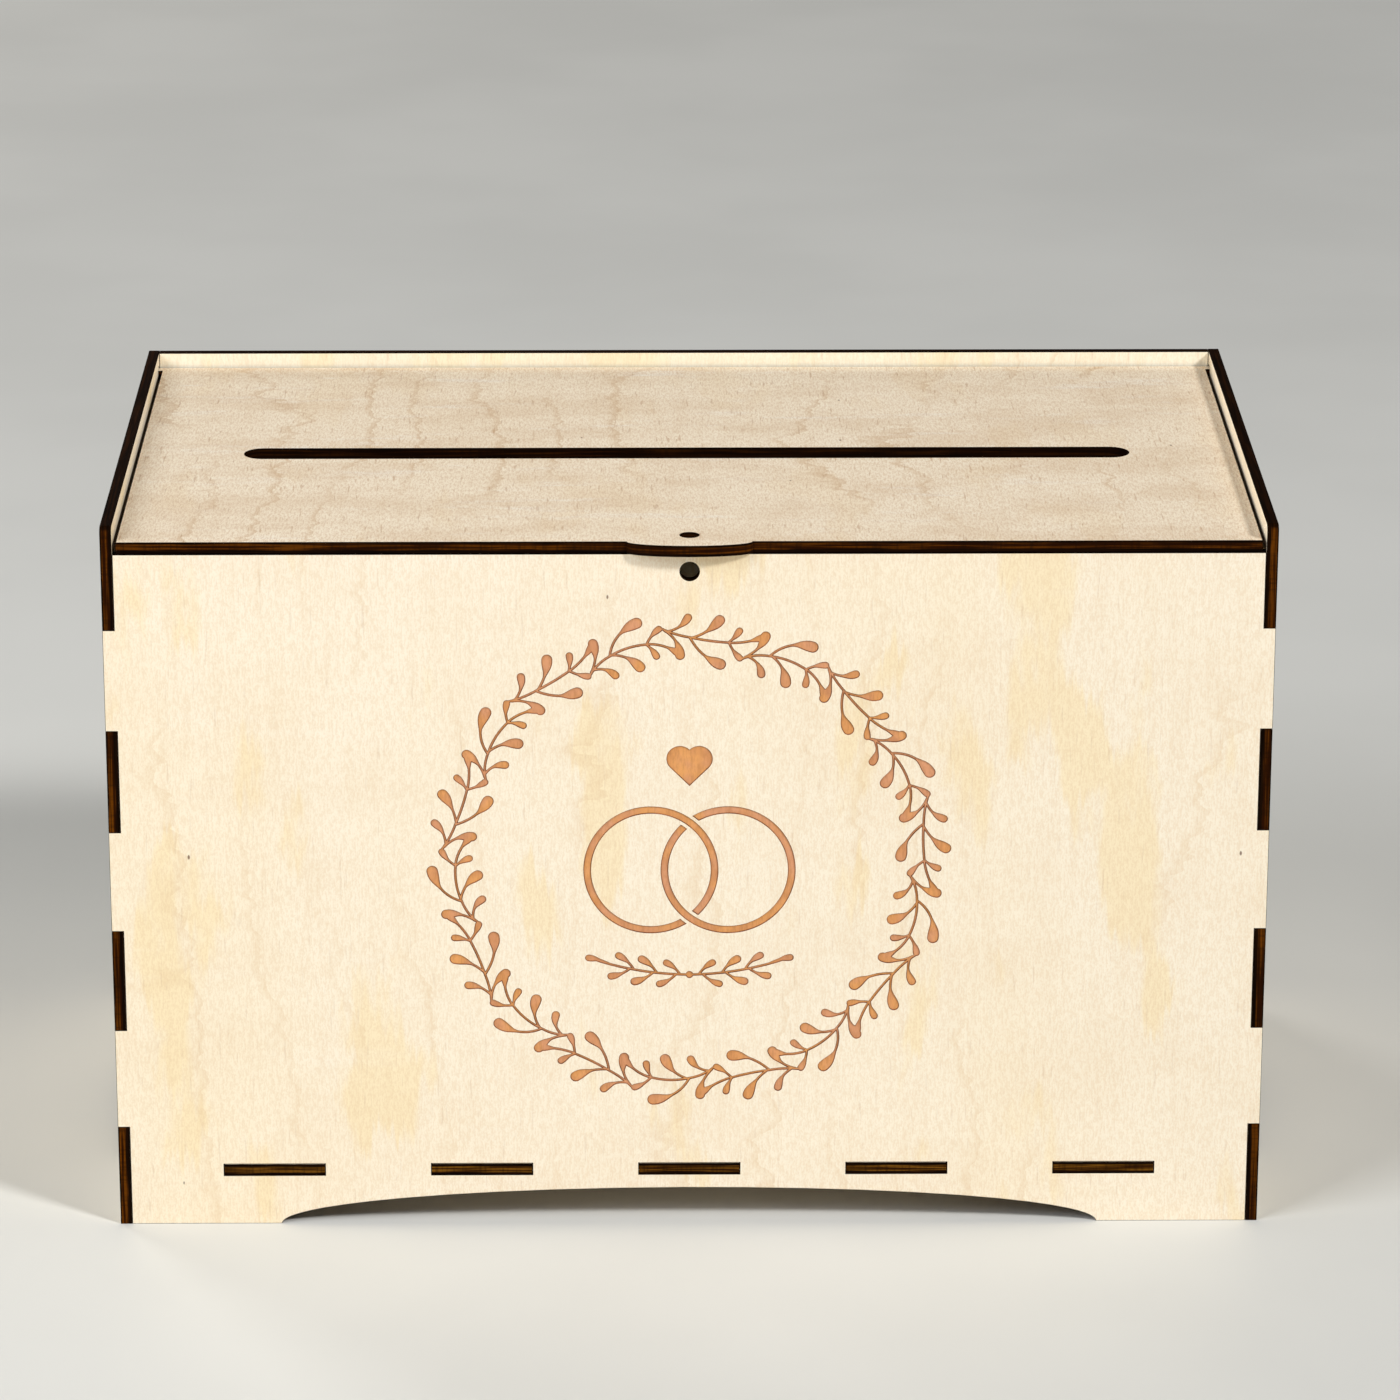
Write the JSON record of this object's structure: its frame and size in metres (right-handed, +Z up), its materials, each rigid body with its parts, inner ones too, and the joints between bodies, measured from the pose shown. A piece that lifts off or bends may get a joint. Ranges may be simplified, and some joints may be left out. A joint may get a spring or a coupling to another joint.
{
  "type": "wedding card box",
  "caption": "Plywood card box with a hinged lid, long card slot, finger-jointed corners, arched lower edges and ribbon holes to tie it shut.",
  "frame": {"origin": "on the table, under the middle of the box's bounding box, pull tab included", "axes": "+X to the box's right seen from its front, +Y to its back, +Z up; the engraved front faces -Y"},
  "size_m": [0.3, 0.174, 0.192],
  "materials": {
    "birch_plywood": "raw sanded veneer with laser-charred edges"
  },
  "bodies": {
    "box": {"front_panel": "birch_plywood", "back_panel": "birch_plywood", "left_side_panel": "birch_plywood", "right_side_panel": "birch_plywood", "bottom_panel": "birch_plywood"},
    "lid": {"lid": "birch_plywood"}
  },
  "joints": [
    {"name": "lid_hinge", "type": "hinge", "parent": "box", "child": "lid", "pos_m": [0, 0.0816, 0.1865], "axis": [-1, 0, 0], "range_deg": [0, 97]}
  ]
}
